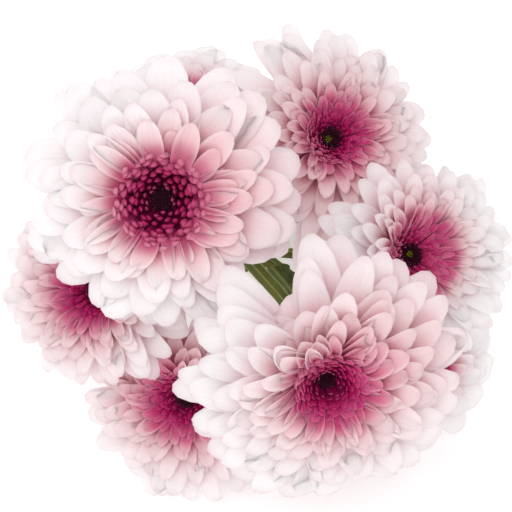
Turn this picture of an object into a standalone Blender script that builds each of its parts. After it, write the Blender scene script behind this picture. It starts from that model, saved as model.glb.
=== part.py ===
"""A cut spray chrysanthemum lying on a table: one branching stem, eight open blooms and its leaves.

The blooms are placed in the spray's own frame: X to the right, Y up and Z out of the blooms' faces.
That frame leans back, so that the two lowest blooms and the lower stem rest on the table.
"""

import math
from dataclasses import dataclass

import bmesh
import bpy
from mathutils import Matrix, Vector

MM = 0.001

# The lie of the spray
LEAN = math.radians(50.0)  # rise of the spray's axis above the table
TABLE_DROP = 76.9 * MM  # from the middle of the blooms' faces down to the table

# A bloom, from its back to its eye
CALYX_DEPTH = 11.0 * MM
CALYX_RADIUS = 7.4 * MM
RECEPTACLE_RADIUS = 2.4 * MM
RECEPTACLE_HEIGHT = 4.6 * MM
WHORL_HOLE = 3.2 * MM  # every whorl of florets is threaded on the receptacle
EYE_RADIUS = 3.2 * MM
EYE_BASE = 5.3 * MM
EYE_HEIGHT = 3.8 * MM

# Profiles, from the top down the outer side, as shares of the piece's radius and height
CALYX_PROFILE = ((0.95, 0.0), (1.0, 0.22), (0.74, 0.60))
CALYX_NECK = ((1.5, 0.88), (1.15, 1.0))  # its radii are shares of a stalk's
EYE_PROFILE = ((0.75, 0.82), (1.0, 0.42), (0.62, 0.0))
RECEPTACLE_ROUNDING = 0.4 * MM

# Green parts
STEM_RADIUS = 2.7 * MM
STALK_RADIUS = 1.6 * MM
THICK_STALK_RADIUS = 2.4 * MM
STALK_GAP = 0.6 * MM  # air between the end of a stalk and its calyx
FORK_GAP = 1.2 * MM  # the same between the start of a side stalk and the main stem
LEAF_THICKNESS = 0.9 * MM
STEM_SIDES = 2  # bevel resolution: eight flats round the stem
STALK_SIDES = 1
CALYX_SIDES = 12
EYE_SIDES = 10
STALK_POINTS = 7
STALK_PULL = 0.35  # length of the Bezier handles at its ends, as a share of its own
STEM_STEPS = 3  # points of the stem's line for each point of its route


@dataclass
class Bloom:
    """One flower head: its place in the spray's frame, the way that it leans, and its outer radius."""

    name: str
    place_mm: tuple
    lean_deg: float
    lean_towards_deg: float  # counter-clockwise from the right, seen face on
    radius_mm: float
    cup_deg: float  # how far its florets rise towards its face
    fork_mm: tuple  # where its stalk leaves the main stem, in the spray's frame
    stalk_radius: float

    def facing(self):
        lean, towards = math.radians(self.lean_deg), math.radians(self.lean_towards_deg)
        side = math.sin(lean)
        return Vector((side * math.cos(towards), side * math.sin(towards), math.cos(lean)))

    def matrix(self):
        turn = Vector((0, 0, 1)).rotation_difference(self.facing())
        return Matrix.Translation(Vector(self.place_mm) * MM) @ turn.to_matrix().to_4x4()

    def behind(self, distance):
        return Vector(self.place_mm) * MM - self.facing() * distance


@dataclass
class Whorl:
    """A ring of ray florets, joined at their bases."""

    name: str
    florets: int
    reach: float  # share of the bloom's radius
    start: float  # height of its hub above the calyx
    rise_deg: float  # slope of the florets
    notch: float  # depth of the cuts between the tips, as a share of the reach
    thickness: float
    colour: tuple


BLOOMS = (
    Bloom("bloom_1", (-26.8, 17.0, 4), 6, 250, 39.5, 2, None, STALK_RADIUS),
    Bloom("bloom_2", (20.6, 34.3, -20), 20, 35, 33, 7, (-9, 6, -47), STALK_RADIUS),
    Bloom("bloom_3", (43, 0, -13), 27, 5, 31, 14, (-3, 2, -67), STALK_RADIUS),
    Bloom("bloom_4", (19.5, -32.5, 3), 24, 285, 42, -2, (-7, 4.5, -52), THICK_STALK_RADIUS),
    Bloom("bloom_5", (-19.5, -40.5, -29), 28, 235, 32.5, 6, (-2, 2, -71), STALK_RADIUS),
    Bloom("bloom_6", (-45, -9.5, -20), 24, 190, 31, 9, (-5, 3, -58), STALK_RADIUS),
    Bloom("bloom_7", (-20, 42, -44), 35, 95, 30, 6, (-3, 3, -63), STALK_RADIUS),
    Bloom("bloom_8", (48.5, -33.5, -39), 38, 325, 29, 4, (-1, 3, -77), STALK_RADIUS),
)

WHORLS = (
    Whorl("outer_florets", 12, 1.0, 0.9 * MM, 2, 0.26, 1.0 * MM, (0.90, 0.84, 0.85)),
    Whorl("middle_florets", 10, 0.70, 2.7 * MM, 15, 0.24, 1.1 * MM, (0.84, 0.56, 0.63)),
    Whorl("inner_florets", 8, 0.42, 4.9 * MM, 29, 0.20, 1.3 * MM, (0.52, 0.08, 0.26)),
)
WHORL_SHARES = (0.0, 0.5, 1.0)  # rings of points, from the hole to the tips
POINTS_PER_FLORET = 3  # two across the tip and one in the notch
TIP_HALF = 1 / 6  # half the tip's width, in florets

CALYX_GREEN = (0.22, 0.33, 0.09)
STEM_GREEN = (0.26, 0.32, 0.12)
LEAF_GREEN = (0.08, 0.17, 0.04)
EYE_PURPLE = (0.06, 0.01, 0.03)


def clear_scene():
    for obj in list(bpy.data.objects):
        bpy.data.objects.remove(obj, do_unlink=True)


def make_collection(name):
    collection = bpy.data.collections.new(name)
    bpy.context.scene.collection.children.link(collection)
    return collection


def make_material(name, colour, roughness):
    """A Principled material with one colour, for a living surface, which is never metallic."""
    material = bpy.data.materials.new(name)
    material.use_nodes = True
    shader = material.node_tree.nodes["Principled BSDF"]
    shader.inputs["Base Color"].default_value = (*colour, 1.0)
    shader.inputs["Roughness"].default_value = roughness
    shader.inputs["Metallic"].default_value = 0.0
    return material


def add_part(name, data, material, parent, matrix=None):
    part = bpy.data.objects.new(name, data)
    SPRAY.objects.link(part)
    data.materials.append(material)
    part.parent = parent
    if matrix is not None:
        part.matrix_local = matrix
    return part


def turned(name, profile, steps, material, parent, matrix):
    """A solid of revolution from (radius, height) points, listed from its top down its outer side."""
    mesh = bpy.data.meshes.new(name)
    mesh.from_pydata([(r, 0, z) for r, z in profile], [(i, i + 1) for i in range(len(profile) - 1)], [])
    part = add_part(name, mesh, material, parent, matrix)
    screw = part.modifiers.new("turn", "SCREW")
    screw.steps = screw.render_steps = steps
    screw.use_merge_vertices = True
    screw.merge_threshold = 0.00002
    return part


def add_calyx(bloom, material, parent):
    """The green cup of bracts, with the receptacle that carries the florets standing up from its middle."""
    profile = [
        (0.0, RECEPTACLE_HEIGHT),
        (RECEPTACLE_RADIUS, RECEPTACLE_HEIGHT - RECEPTACLE_ROUNDING),
        (RECEPTACLE_RADIUS, 0.0),
        *((CALYX_RADIUS * out, -CALYX_DEPTH * down) for out, down in CALYX_PROFILE),
        *((STALK_RADIUS * out, -CALYX_DEPTH * down) for out, down in CALYX_NECK),
        (0.0, -CALYX_DEPTH),
    ]
    return turned(f"{bloom.name}_calyx", profile, CALYX_SIDES, material, parent, bloom.matrix())


def add_eye(bloom, material, parent):
    """The button of tight disc florets in the middle of the bloom."""
    profile = [
        (0.0, EYE_BASE + EYE_HEIGHT),
        *((EYE_RADIUS * out, EYE_BASE + EYE_HEIGHT * up) for out, up in EYE_PROFILE),
        (0.0, EYE_BASE),
    ]
    return turned(f"{bloom.name}_eye", profile, EYE_SIDES, material, parent, bloom.matrix())


def whorl_point(bloom, whorl, share, turns):
    """(radius, height) of a whorl's middle surface, this share of the way out and this many florets round."""
    off_middle = abs(turns - round(turns))
    cut = whorl.notch * max(0.0, off_middle - TIP_HALF) / (0.5 - TIP_HALF)
    out = (bloom.radius_mm * MM * whorl.reach * (1 - cut) - WHORL_HOLE) * share
    return WHORL_HOLE + out, whorl.start + out * math.tan(math.radians(whorl.rise_deg + bloom.cup_deg))


def add_whorl(bloom, whorl, turn, material, parent):
    """A lobed shell: a strip spun round the axis, drawn out to its tips and notches and given its thickness."""
    pitch = math.tau / whorl.florets
    shape = bmesh.new()
    knots = [shape.verts.new((1 + share, 0, 0)) for share in WHORL_SHARES]
    strip = [shape.edges.new(pair) for pair in zip(knots, knots[1:])]
    bmesh.ops.spin(shape, geom=knots + strip, axis=(0, 0, 1), cent=(0, 0, 0), angle=math.tau,
                   steps=whorl.florets * POINTS_PER_FLORET, use_merge=True)
    bmesh.ops.recalc_face_normals(shape, faces=shape.faces)
    for vertex in shape.verts:
        angle = math.atan2(vertex.co.y, vertex.co.x)
        share = vertex.co.xy.length - 1
        out, height = whorl_point(bloom, whorl, share, angle / pitch + TIP_HALF)
        angle += turn * pitch
        vertex.co = (out * math.cos(angle), out * math.sin(angle), height)
    mesh = bpy.data.meshes.new(f"{bloom.name}_{whorl.name}")
    shape.to_mesh(mesh)
    shape.free()
    part = add_part(mesh.name, mesh, material, parent, bloom.matrix())
    wall = part.modifiers.new("thickness", "SOLIDIFY")
    wall.thickness = whorl.thickness
    wall.offset = 0.0
    return part


def bezier(points, share):
    """The point of a cubic Bezier curve at this share of its length parameter."""
    a, b, c, d = points
    rest = 1 - share
    return a * rest**3 + b * 3 * rest**2 * share + c * 3 * rest * share**2 + d * share**3


def add_tube(name, points, radius, sides, material, parent):
    """A round stem through these points."""
    curve = bpy.data.curves.new(name, "CURVE")
    curve.dimensions = "3D"
    curve.bevel_depth = radius
    curve.bevel_resolution = sides
    curve.use_fill_caps = True
    spline = curve.splines.new("POLY")
    spline.points.add(len(points) - 1)
    for knot, point in zip(spline.points, points):
        knot.co = (*point, 1.0)
    return add_part(name, curve, material, parent)


def on_table(across, back, height):
    """A point of the spray's frame, given by its place over the table: right, away from the blooms, and up."""
    up = height - TABLE_DROP
    return Vector((
        across,
        back * math.sin(LEAN) + up * math.cos(LEAN),
        up * math.sin(LEAN) - back * math.cos(LEAN),
    ))


def catmull_rom(points, steps):
    """A smooth line through all the points, with this many steps between neighbours."""
    ends = [points[0] * 2 - points[1], *points, points[-1] * 2 - points[-2]]
    line = []
    for i in range(1, len(ends) - 2):
        a, b, c, d = ends[i - 1:i + 3]
        for step in range(steps):
            t = step / steps
            line.append(0.5 * (b * 2 + (c - a) * t + (a * 2 - b * 5 + c * 4 - d) * t**2
                               + (b * 3 - a - c * 3 + d) * t**3))
    return line + [points[-1]]


def main_stem_route():
    """From the cut end, along the table, up through the forks to the back of the first bloom."""
    lying = STEM_RADIUS + 0.1 * MM
    return [
        on_table(9 * MM, 128 * MM, lying),
        on_table(7 * MM, 103 * MM, lying),
        on_table(4 * MM, 78 * MM, lying + 0.6 * MM),
        on_table(1 * MM, 60 * MM, 12 * MM),
        Vector((-4, 2, -62)) * MM,
        Vector((-9, 5.5, -48)) * MM,
        Vector((-18, 12, -33)) * MM,
        Vector((-25, 17, -19.5)) * MM,
        BLOOMS[0].behind(CALYX_DEPTH + STALK_GAP),
    ]


def add_main_stem(material, parent):
    line = catmull_rom(main_stem_route(), STEM_STEPS)
    return add_tube("main_stem", line, STEM_RADIUS, STEM_SIDES, material, parent)


def add_flower_stalk(bloom, material, parent):
    """The stalk from a fork of the main stem to the back of its bloom."""
    fork = Vector(bloom.fork_mm) * MM
    top = bloom.behind(CALYX_DEPTH + STALK_GAP)
    away = (top - fork).normalized()
    slant = math.hypot(away.x, away.y)  # sine of its angle to the main stem, which runs near Z there
    start = fork + away * ((STEM_RADIUS + bloom.stalk_radius + FORK_GAP) / slant)
    pull = (top - start).length * STALK_PULL
    handles = (start, start + away * pull, top - bloom.facing() * pull, top)
    points = [bezier(handles, i / (STALK_POINTS - 1)) for i in range(STALK_POINTS)]
    return add_tube(f"{bloom.name}_stalk", points, bloom.stalk_radius, STALK_SIDES, material, parent)


@dataclass
class Leaf:
    """A lobed leaf: where its stalk leaves the stem, over the table, and the way that it points."""

    name: str
    root_mm: tuple
    heading_deg: float  # counter-clockwise from the right, seen from above
    rise_deg: float
    roll_deg: float
    length_mm: float


LEAVES = (
    Leaf("leaf_1", (12.6, 118, 6), -48, 12, 12, 52),
    Leaf("leaf_2", (3.2, 106, 5), 222, 14, -14, 56),
    Leaf("leaf_3", (9.4, 88, 6), -36, 16, 16, 54),
    Leaf("leaf_4", (-0.6, 72, 8), 206, 18, -16, 52),
    Leaf("leaf_5", (1, 36, 34), -48, -8, -24, 34),
    Leaf("leaf_6", (5, 98, 10), -82, 40, 0, 42),
)
LEAF_STATIONS = 13

# A leaf's outline. Widths, droop and fold are shares of its length, unless it says otherwise
LEAF_WIDTH = 0.56
LEAF_STALK_SHARE = 0.2  # how much of it is stalk
LEAF_STALK_HALF = 0.02
LEAF_STALK_FLARE = 0.05
LEAF_BODY_HALF = 0.028  # beside the midrib, even between two lobes
LEAF_FORWARDNESS = 0.75  # under 1 puts the widest lobes nearer the stalk
LEAF_FULLNESS = 0.8
LEAF_LOBES = 3.04  # pairs
LEAF_LOBE_DEPTH = 0.30  # share of the half width
LEAF_DROOP = 0.16
LEAF_FOLD = 0.18  # share of the half width
LEAF_TIP_HALF = 0.6 * MM


def leaf_half_width(share, length):
    """Half the blade's width at this share of its length: a narrow stalk, then three pairs of round lobes."""
    if share < LEAF_STALK_SHARE:
        return length * (LEAF_STALK_HALF + LEAF_STALK_FLARE * share)
    along = (share - LEAF_STALK_SHARE) / (1 - LEAF_STALK_SHARE)
    body = math.sin(math.pi * along**LEAF_FORWARDNESS) ** LEAF_FULLNESS
    lobes = 1 - LEAF_LOBE_DEPTH * (0.5 + 0.5 * math.cos(along * LEAF_LOBES * math.tau))
    return length * (LEAF_BODY_HALF + 0.5 * LEAF_WIDTH * body * lobes)


def add_leaf(leaf, material, parent):
    """A strip of blade on each side of the midrib, drooping to its tip, with its thickness from Solidify."""
    length = leaf.length_mm * MM
    rows = []
    for station in range(LEAF_STATIONS):
        share = station / (LEAF_STATIONS - 1)
        half = leaf_half_width(share, length) if share < 1 else LEAF_TIP_HALF
        droop = -LEAF_DROOP * length * share**2
        fold = LEAF_FOLD * half
        rows.append([(-half, share * length, droop + fold), (0, share * length, droop),
                     (half, share * length, droop + fold)])
    points = [point for row in rows for point in row]
    faces = [(3 * i + k, 3 * i + k + 1, 3 * i + k + 4, 3 * i + k + 3)
             for i in range(LEAF_STATIONS - 1) for k in (0, 1)]
    mesh = bpy.data.meshes.new(leaf.name)
    mesh.from_pydata(points, [], faces)
    heading = Matrix.Rotation(math.radians(leaf.heading_deg - 90), 4, "Z")
    rise = Matrix.Rotation(math.radians(leaf.rise_deg), 4, "X")
    roll = Matrix.Rotation(math.radians(leaf.roll_deg), 4, "Y")
    root = on_table(*(value * MM for value in leaf.root_mm))
    upright = Matrix.Rotation(LEAN - math.pi / 2, 4, "X")  # from over the table to the spray's frame
    matrix = Matrix.Translation(root) @ upright @ heading @ rise @ roll
    part = add_part(leaf.name, mesh, material, parent, matrix)
    wall = part.modifiers.new("thickness", "SOLIDIFY")
    wall.thickness = LEAF_THICKNESS
    wall.offset = 0.0
    return part


def add_spray_frame():
    """The empty that everything is parented to. It leans the spray back from upright."""
    frame = bpy.data.objects.new("spray_frame", None)
    SPRAY.objects.link(frame)
    frame.rotation_euler = (math.pi / 2 - LEAN, 0, 0)
    return frame


def stand_on_origin(frame):
    """Moves the spray until the middle of its footprint is over the origin and it touches the table."""
    bpy.context.view_layer.update()
    graph = bpy.context.evaluated_depsgraph_get()
    points = []
    for part in SPRAY.objects:
        if part.type == "EMPTY":
            continue
        evaluated = part.evaluated_get(graph)
        mesh = evaluated.to_mesh()
        points += [evaluated.matrix_world @ vertex.co for vertex in mesh.vertices]
        evaluated.to_mesh_clear()
    low = Vector([min(point[i] for point in points) for i in range(3)])
    high = Vector([max(point[i] for point in points) for i in range(3)])
    frame.location = (-(low.x + high.x) / 2, -(low.y + high.y) / 2, -low.z)
    bpy.context.view_layer.update()


def build():
    frame = add_spray_frame()
    calyx_green = make_material("calyx_green", CALYX_GREEN, 0.6)
    stem_green = make_material("stem_green", STEM_GREEN, 0.55)
    leaf_green = make_material("leaf_green", LEAF_GREEN, 0.6)
    eye_purple = make_material("eye_purple", EYE_PURPLE, 0.5)
    petal_colours = {whorl.name: make_material(whorl.name, whorl.colour, 0.5) for whorl in WHORLS}
    for bloom in BLOOMS:
        add_calyx(bloom, calyx_green, frame)
        add_eye(bloom, eye_purple, frame)
        for order, whorl in enumerate(WHORLS):
            add_whorl(bloom, whorl, 0.5 * order, petal_colours[whorl.name], frame)
        if bloom.fork_mm is not None:
            add_flower_stalk(bloom, stem_green, frame)
    add_main_stem(stem_green, frame)
    for leaf in LEAVES:
        add_leaf(leaf, leaf_green, frame)
    stand_on_origin(frame)


clear_scene()
SPRAY = make_collection("cut_spray_chrysanthemum")
build()
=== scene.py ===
# %% [markdown]
# # A cut spray chrysanthemum, lying on a table
#
# A spray chrysanthemum is one stem that forks into many flower stalks, and each stalk ends in a bloom.
# This lesson dresses a plain solid model of such a spray in its real petals, buds, bracts, stems and
# leaves. The solid model stays as the frame: every piece made here takes its place and its size from it.

# %% Load the frame
import math
from dataclasses import dataclass

import bpy
import numpy as np
from mathutils import Matrix, Vector


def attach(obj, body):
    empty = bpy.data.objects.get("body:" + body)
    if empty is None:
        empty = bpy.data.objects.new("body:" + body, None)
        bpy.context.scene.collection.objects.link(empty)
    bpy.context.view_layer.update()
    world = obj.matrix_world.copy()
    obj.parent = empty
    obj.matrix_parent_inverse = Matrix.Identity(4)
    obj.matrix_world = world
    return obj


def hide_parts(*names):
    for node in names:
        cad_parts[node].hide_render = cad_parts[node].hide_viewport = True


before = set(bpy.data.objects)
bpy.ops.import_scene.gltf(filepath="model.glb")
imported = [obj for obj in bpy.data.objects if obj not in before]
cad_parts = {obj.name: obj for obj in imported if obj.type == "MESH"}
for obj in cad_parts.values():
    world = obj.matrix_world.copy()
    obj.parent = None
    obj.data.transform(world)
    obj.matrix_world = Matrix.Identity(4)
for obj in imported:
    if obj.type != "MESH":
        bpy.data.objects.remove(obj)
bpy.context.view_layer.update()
MM = 0.001

# %% [markdown]
# ## Where each bloom sits
#
# The blooms share one tilted frame: X to the right, Y up, and Z out of their faces. The place of each
# bloom could be typed in, but measuring the solids keeps the two models together. The line from the
# middle of a calyx to the middle of its eye is the way that a bloom faces, and the farthest floret gives
# its radius.

# %% Measure the blooms
BLOOM_COUNT = 8
LEAN = math.radians(50)
EYE_BASE = 5.3 * MM
FIRST_BLOOM_PLACE = Vector((-26.8, 17.0, 4)) * MM
TURN = Matrix.Rotation(math.pi / 2 - LEAN, 4, "X")


def points_of(node):
    """The vertices of one of the frame's solids, a row for each."""
    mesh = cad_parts[node].data
    found = np.empty(len(mesh.vertices) * 3)
    mesh.vertices.foreach_get("co", found)
    return found.reshape(-1, 3)


def measure_bloom(name):
    """The bloom's origin, the way that it faces, and its radius."""
    eye = points_of(f"{name}_eye")
    facing = eye.mean(0) - points_of(f"{name}_calyx").mean(0)
    facing /= np.linalg.norm(facing)
    heights = eye @ facing
    origin = eye.mean(0) + facing * (heights.min() - EYE_BASE - heights.mean())
    florets = points_of(f"{name}_outer_florets") - origin
    outwards = florets - np.outer(florets @ facing, facing)
    return Vector(origin), Vector(facing), float(np.linalg.norm(outwards, axis=1).max())


SPRAY = Matrix.Translation(measure_bloom("bloom_1")[0] - TURN @ FIRST_BLOOM_PLACE) @ TURN


def bloom_matrix(name):
    """Stands a bloom that was made round the Z axis in its place on the spray."""
    origin, facing, _ = measure_bloom(name)
    turn = Vector((0, 0, 1)).rotation_difference(TURN.transposed() @ facing)
    return Matrix.Translation(origin) @ TURN @ turn.to_matrix().to_4x4()


for number in range(1, BLOOM_COUNT + 1):
    radius = measure_bloom(f"bloom_{number}")[2]
    print(f"bloom_{number} is", round(radius * 2 / MM), "mm across")

# %% [markdown]
# ## Camera
#
# A bunch of flowers is seen best face on. The camera could be placed by eye, but the axis of the blooms
# is known, so it stands on that axis, half a metre away, and its angle of view just takes in the whole
# head.

# %% Camera
CAMERA_DISTANCE = 0.5
VIEW_HALF = 75.25 * MM

camera_data = bpy.data.cameras.new("studio_camera")
camera_data.angle = 2 * math.atan(VIEW_HALF / CAMERA_DISTANCE)
camera = bpy.data.objects.new("studio_camera", camera_data)
camera.matrix_world = SPRAY @ Matrix.Translation((0, 0, CAMERA_DISTANCE))
bpy.context.scene.collection.objects.link(camera)
bpy.context.scene.camera = camera
print("camera at", [round(value, 3) for value in camera.matrix_world.translation])

# %% [markdown]
# ## Nodes and sums
#
# Petals follow formulas, and a formula drawn node by node is hard to read. A `Field` holds one output of
# a node. `step` adds a node, plugs fields and plain values into it by name, and gives its first output as
# a new field. The same helpers serve geometry trees and material trees.

# %% Nodes by name
NODES_IN_COLUMN = 12
COLUMN_WIDTH = 200
ROW_HEIGHT = 180


class Field:
    """A value that a node tree works out at every point."""

    def __init__(self, tree, socket):
        self.tree = tree
        self.socket = socket

    def other(self, name):
        """Another output of the same node."""
        return Field(self.tree, self.socket.node.outputs[name])


def plug(value, socket):
    """Links a field, or each field of a list, to a socket, or sets the socket to a plain value."""
    if isinstance(value, Field):
        value.tree.links.new(value.socket, socket)
    elif isinstance(value, list):
        for part in value:
            plug(part, socket)
    else:
        socket.default_value = value


def fill(node, inputs):
    """Plugs values into a node's inputs, found by name or by number."""
    for name, value in inputs.items():
        named = [socket for socket in node.inputs if socket.enabled and socket.name == name]
        plug(value, named[0] if named else node.inputs[name])


def step(tree, kind, inputs=None, **settings):
    """Adds a node, fills it, and returns its first output."""
    node = tree.nodes.new(kind)
    column, row = divmod(len(tree.nodes) - 1, NODES_IN_COLUMN)
    node.location = (column * COLUMN_WIDTH, -row * ROW_HEIGHT)
    for name, value in settings.items():
        setattr(node, name, value)
    fill(node, inputs or {})
    return Field(tree, next(socket for socket in node.outputs if socket.enabled))


# %% [markdown]
# Python lets a class say what its signs mean. Here `a * 2 + b` adds a Multiply and an Add node, and
# functions such as `cos` add theirs, so that the formula for a petal can be read as one.

# %% Sums by sign
SIGNS = {"add": "ADD", "sub": "SUBTRACT", "mul": "MULTIPLY", "truediv": "DIVIDE", "pow": "POWER"}


def sums(tree, operation, *values):
    return step(tree, "ShaderNodeMath", dict(enumerate(values)), operation=operation)


def teach(sign, operation):
    """Makes a sign add this Math node, with a field on either side of it or on both."""
    setattr(Field, f"__{sign}__", lambda left, right: sums(left.tree, operation, left, right))
    setattr(Field, f"__r{sign}__", lambda right, left: sums(right.tree, operation, left, right))


def math_node(operation):
    """A function of fields that adds this Math node."""
    return lambda *values: sums(values[0].tree, operation, *values)


for sign, operation in SIGNS.items():
    teach(sign, operation)
sin = math_node("SINE")
cos = math_node("COSINE")
arccos = math_node("ARCCOSINE")
arctan2 = math_node("ARCTAN2")
exp = math_node("EXPONENT")
sqrt = math_node("SQRT")
absolute = math_node("ABSOLUTE")
most = math_node("MAXIMUM")
least = math_node("MINIMUM")
above = math_node("GREATER_THAN")
below = math_node("LESS_THAN")


def clamped(x):
    return step(x.tree, "ShaderNodeClamp", {"Value": x})


def smooth(x, low, high):
    """Rises gently from 0 at low to 1 at high."""
    inputs = {"Value": x, "From Min": low, "From Max": high}
    return step(x.tree, "ShaderNodeMapRange", inputs, interpolation_type="SMOOTHSTEP")


def between(share, first, second):
    """The value this share of the way from the first to the second."""
    return first + (second - first) * share


print("a field takes the signs", ", ".join(SIGNS))

# %% [markdown]
# A graph is the simplest way to say how a size changes from the eye of a bloom to its rim. The Float
# Curve node holds one, in a square from 0 to 1, so this helper scales real sizes into that square and
# back.

# %% Graphs
def graph(x, *knots):
    """A smooth graph through (x, y) knots, level beyond its ends."""
    low_x, span_x = knots[0][0], knots[-1][0] - knots[0][0]
    low_y = min(y for _, y in knots)
    span_y = max(y for _, y in knots) - low_y
    curve = step(x.tree, "ShaderNodeFloatCurve", {"Value": (x - low_x) / span_x})
    mapping = curve.socket.node.mapping
    line = mapping.curves[0]
    scaled = [((kx - low_x) / span_x, (ky - low_y) / span_y) for kx, ky in knots]
    line.points[0].location = scaled[0]
    line.points[1].location = scaled[-1]
    for place in scaled[1:-1]:
        line.points.new(*place)
    for knot in line.points:
        knot.handle_type = "AUTO_CLAMPED"
    mapping.update()
    return curve * span_y + low_y


def graph_mm(x, *knots):
    """The same, with every y in millimetres."""
    return graph(x, *((kx, ky * MM) for kx, ky in knots))


# %% [markdown]
# ## Trees and what they grow
#
# A Geometry Nodes tree is a recipe, and its named inputs are the sizes that change from bloom to bloom. A
# whole number in the list of sizes makes a whole-number input, a colour makes a colour input, and None
# makes one for a material.

# %% Inputs of a tree
SOCKET_KINDS = {int: "Int", float: "Float", tuple: "Color", type(None): "Material"}


def add_inputs(tree, sizes):
    """Gives a tree a named input for each size, and returns them as fields."""
    for label, value in sizes.items():
        kind = "NodeSocket" + SOCKET_KINDS[type(value)]
        socket = tree.interface.new_socket(label, in_out="INPUT", socket_type=kind)
        if value is not None:
            socket.default_value = value
    entry = tree.nodes.new("NodeGroupInput")
    return {socket.name: Field(tree, socket) for socket in entry.outputs if socket.name}


def new_tree(name, sizes):
    """A geometry tree with these inputs."""
    tree = bpy.data.node_groups.new(name, "GeometryNodeTree")
    for way in ("INPUT", "OUTPUT"):
        tree.interface.new_socket("Geometry", in_out=way, socket_type="NodeSocketGeometry")
    return tree, add_inputs(tree, sizes)


# %% [markdown]
# Most geometry nodes take a shape and give it back changed, so these helpers ask for the shape first.
# What one step works out, such as how far along a petal a point is, is stored on the points for later
# steps and for the materials.

# %% Changing a shape
RIM_SWELL = 0.001
WELD = 0.00001


def change(shape, kind, inputs=None, **settings):
    """Adds a node that takes a shape and gives it back changed."""
    return step(shape.tree, kind, {0: shape, **(inputs or {})}, **settings)


def stored(shape, name, value, domain="POINT"):
    inputs = {"Name": name, "Value": value}
    return change(shape, "GeometryNodeStoreNamedAttribute", inputs, data_type="FLOAT", domain=domain)


def read(tree, name):
    return step(tree, "GeometryNodeInputNamedAttribute", {"Name": name}, data_type="FLOAT")


def vector(tree, x=0.0, y=0.0, z=0.0):
    return step(tree, "ShaderNodeCombineXYZ", {"X": x, "Y": y, "Z": z})


def place_of(tree):
    """The X, Y and Z of each point."""
    spot = step(tree, "ShaderNodeSeparateXYZ", {"Vector": step(tree, "GeometryNodeInputPosition")})
    return spot, spot.other("Y"), spot.other("Z")


def moved(shape, x, y, z):
    """Moves each point of a shape to its own X, Y and Z."""
    return change(shape, "GeometryNodeSetPosition", {"Position": vector(shape.tree, x, y, z)})


def polar(radius, angle):
    """X and Y at this distance and angle from the axis."""
    return radius * cos(angle), radius * sin(angle)


def joined(*shapes):
    return step(shapes[0].tree, "GeometryNodeJoinGeometry", {"Geometry": list(shapes)})


def welded(shape):
    return change(shape, "GeometryNodeMergeByDistance", {"Distance": WELD})


def end_tree(shape, finish, crisp=0.0):
    """Realises a shape, shades it smooth but for the rims where crisp is 1, and gives it its material."""
    shape = change(shape, "GeometryNodeRealizeInstances")
    shape = change(shape, "GeometryNodeSetShadeSmooth")
    if crisp:
        rim = below(absolute(read(shape.tree, "swell")), RIM_SWELL) * crisp
        inputs = {"Selection": rim, "Shade Smooth": False}
        shape = change(shape, "GeometryNodeSetShadeSmooth", inputs, domain="EDGE")
    shape = change(shape, "GeometryNodeSetMaterial", {"Material": finish})
    fill(shape.tree.nodes.new("NodeGroupOutput"), {"Geometry": shape})
    return shape.tree


# %% [markdown]
# A tree is run on an empty object, or on a line for it to follow. Its result is taken as a plain mesh,
# and the modifier is taken off again, so that every finished piece is a mesh that needs no recipe.

# %% Plain meshes from trees
def grow(name, tree, sizes, start=None):
    """Runs the tree with these sizes on a start mesh, and keeps the result as a plain mesh object."""
    piece = bpy.data.objects.new(name, start or bpy.data.meshes.new(name))
    bpy.context.scene.collection.objects.link(piece)
    modifier = piece.modifiers.new("recipe", "NODES")
    modifier.node_group = tree
    for item in tree.interface.items_tree:
        if item.item_type == "SOCKET" and item.in_out == "INPUT" and item.name in sizes:
            modifier[item.identifier] = sizes[item.name]
    depsgraph = bpy.context.evaluated_depsgraph_get()
    mesh = bpy.data.meshes.new_from_object(piece.evaluated_get(depsgraph), depsgraph=depsgraph)
    piece.modifiers.remove(modifier)
    piece.data = mesh
    return piece


# %% [markdown]
# ## The blank of a blade
#
# Every petal, bract and leaf is a thin closed blade. A single sheet would be simpler, but it has no
# thickness to catch the light. So the blade starts as two grids back to back, which share their rim. Four
# stored attributes go with it: `across` from -1 to 1, `along` from its root to its tip, `upper`, which is
# 1 on the upper side and 0 on the under side, and `swell`, its bulge. All shaping and colouring reads
# them.

# %% Blank
BLANK_WIDTH = 2.0
ROW_EASE = 1.6
ROOT_SWELL = 6.0
TIP_SWELL = 3.0


def grid(tree, width, columns, rows):
    """A flat sheet, this wide and 1 long, with its middle on the origin."""
    inputs = {"Size X": width, "Size Y": 1.0, "Vertices X": columns + 1, "Vertices Y": rows + 1}
    return step(tree, "GeometryNodeMeshGrid", inputs)


def grid_side(tree, columns, rows, upper):
    """One side of the blank, bulging up or down by 1 in its middle and by nothing at its rim."""
    side = grid(tree, BLANK_WIDTH, columns, rows)
    across, y, _ = place_of(tree)
    along = 1 - clamped(0.5 - y) ** ROW_EASE
    round_edge = sqrt(clamped(1 - across * across))
    ends = sqrt(clamped(along * ROOT_SWELL)) * sqrt(clamped((1 - along) * TIP_SWELL))
    side = stored(side, "swell", round_edge * ends * (1 if upper else -1))
    side = stored(side, "across", across)
    side = stored(side, "along", along)
    side = stored(side, "upper", float(upper))
    side = moved(side, across, along, read(tree, "swell"))
    return side if upper else change(side, "GeometryNodeFlipFaces")


def rows_of_blanks(sizes):
    """A blank for each number from First to Last, each point knowing the number of its blank."""
    tree = sizes["First"].tree
    spots = step(tree, "GeometryNodePoints", {"Count": sizes["Last"] - sizes["First"]})
    spots = stored(spots, "number", step(tree, "GeometryNodeInputIndex") + sizes["First"])
    sides = [grid_side(tree, sizes["Columns"], sizes["Rows"], upper) for upper in (True, False)]
    blades = change(spots, "GeometryNodeInstanceOnPoints", {"Instance": welded(joined(*sides))})
    return change(blades, "GeometryNodeRealizeInstances")


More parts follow.
